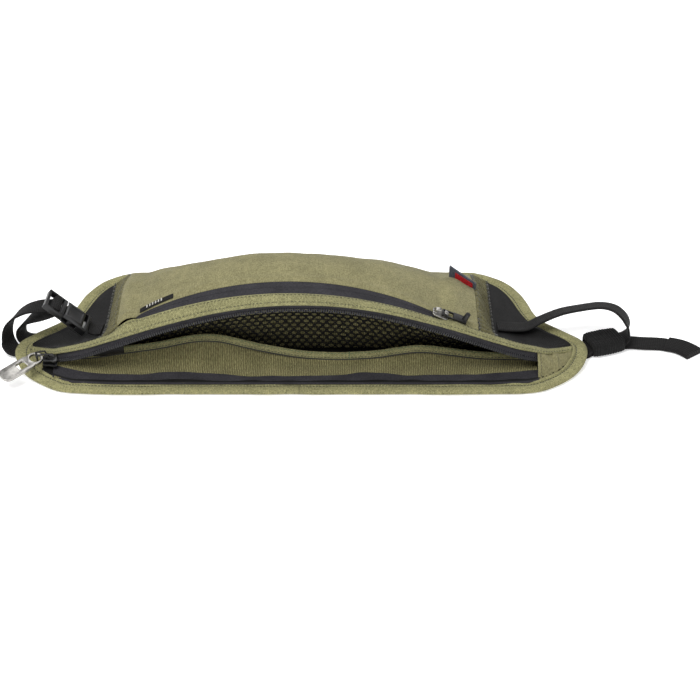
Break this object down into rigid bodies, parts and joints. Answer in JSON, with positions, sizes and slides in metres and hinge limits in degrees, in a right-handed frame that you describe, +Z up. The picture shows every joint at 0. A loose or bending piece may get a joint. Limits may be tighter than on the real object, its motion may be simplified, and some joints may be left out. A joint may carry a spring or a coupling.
{
  "type": "money belt",
  "caption": "Slim fabric waist pouch with an open zipped mouth, a second zipped pocket, mesh inner pocket and a webbing strap with a side-release buckle.",
  "frame": {"origin": "on the table under the middle of the pouch, at the bottom of the webbing it rests on", "axes": "+X along the belt towards the loose strap end, +Y from the pouch's top edge (the mouth) to its bottom edge, +Z up out of the front panel"},
  "size_m": [0.3808, 0.1217, 0.054],
  "materials": {
    "olive_cloth": "woven twill nylon, olive green, dull",
    "ribbed_lining": "fine ribbed lining cloth, olive, dull",
    "black_cloth": "smooth black nylon, slight sheen",
    "zip_tape": "dark grey coated zip tape, smooth",
    "zip_coil": "nylon coil, dark grey",
    "black_mesh": "open black mesh with hexagonal holes",
    "silver_metal": "bright nickel-plated die-cast zinc",
    "black_metal": "black lacquered die-cast zinc",
    "cord_pull": "black moulded cord end",
    "label_black": "woven label, black with a plain pale band",
    "tag_grey": "woven folded tag, grey and red",
    "webbing": "narrow black woven webbing",
    "elastic": "ribbed black elastic",
    "buckle_plastic": "moulded acetal, satin black"
  },
  "bodies": {
    "pouch": {"back_panel": "black_cloth", "edge_binding": "olive_cloth", "wing_left": "black_cloth", "wing_right": "black_cloth", "gather_left": "olive_cloth", "gather_right": "olive_cloth", "front_panel": "olive_cloth", "upper_strip": "olive_cloth", "outer_zip_tape": "zip_tape", "main_tape_upper": "zip_tape", "main_coil_upper": "zip_coil", "main_tape_lower": "zip_tape", "main_coil_lower": "zip_coil", "zip_end_patch": "olive_cloth", "zip_start_tab": "olive_cloth", "pocket_wall": "ribbed_lining", "pocket_binding": "olive_cloth", "mesh_pocket": "black_mesh", "inner_lining": "ribbed_lining", "inner_flap": "black_cloth", "front_label": "label_black", "side_tag": "tag_grey", "buckle_tab": "webbing", "buckle_female": "buckle_plastic", "waist_strap": "webbing", "strap_tail": "webbing", "strap_hem": "webbing"},
    "main_slider": {"main_slider": "black_metal"},
    "main_pull": {"main_pull": "silver_metal", "pull_link": "black_metal"},
    "outer_slider": {"outer_slider": "silver_metal"},
    "outer_pull": {"outer_pull": "cord_pull"},
    "buckle_male": {"buckle_male": "buckle_plastic", "strap_loops": "webbing"},
    "prong_near": {"prong_near": "buckle_plastic"},
    "prong_far": {"prong_far": "buckle_plastic"},
    "strap_keeper": {"strap_keeper": "elastic"}
  },
  "joints": [
    {"name": "main_zip_slide", "type": "slide", "parent": "pouch", "child": "main_slider", "axis": [1, 0, 0], "range_m": [0, 0.245]},
    {"name": "main_pull_swing", "type": "hinge", "parent": "main_slider", "child": "main_pull", "pos_m": [-0.1349, -0.0376, 0.01035], "axis": [-0.2924, 0.9563, 0], "range_deg": [0, 30]},
    {"name": "outer_zip_slide", "type": "hinge", "parent": "pouch", "child": "outer_slider", "pos_m": [-0.006, -0.06168, -0.14107], "axis": [0, -0.989, 0.1478], "range_deg": [0, 46.5]},
    {"name": "outer_pull_swing", "type": "hinge", "parent": "outer_slider", "child": "outer_pull", "pos_m": [0.07527, -0.03642, 0.0373], "axis": [-0.0984, -0.9703, -0.221], "range_deg": [0, 80]},
    {"name": "buckle_release", "type": "slide", "parent": "pouch", "child": "buckle_male", "axis": [-0.7642, 0.0534, 0.6428], "range_m": [0, 0.02]},
    {"name": "prong_near_squeeze", "type": "hinge", "parent": "buckle_male", "child": "prong_near", "pos_m": [-0.12855, -0.01445, 0.02187], "axis": [0.6384, -0.0796, 0.7656], "range_deg": [0, 17], "stiffness_Nm_per_rad": 0.02},
    {"name": "prong_far_squeeze", "type": "hinge", "parent": "buckle_male", "child": "prong_far", "pos_m": [-0.12777, -0.00599, 0.0221], "axis": [-0.6384, 0.0796, -0.7656], "range_deg": [0, 17], "stiffness_Nm_per_rad": 0.02},
    {"name": "keeper_slide", "type": "slide", "parent": "pouch", "child": "strap_keeper", "axis": [0.9336, 0.3584, 0], "range_m": [0, 0.001]}
  ],
  "couplings": [
    {"joint": "prong_far_squeeze", "follows": "prong_near_squeeze", "ratio": 1}
  ]
}
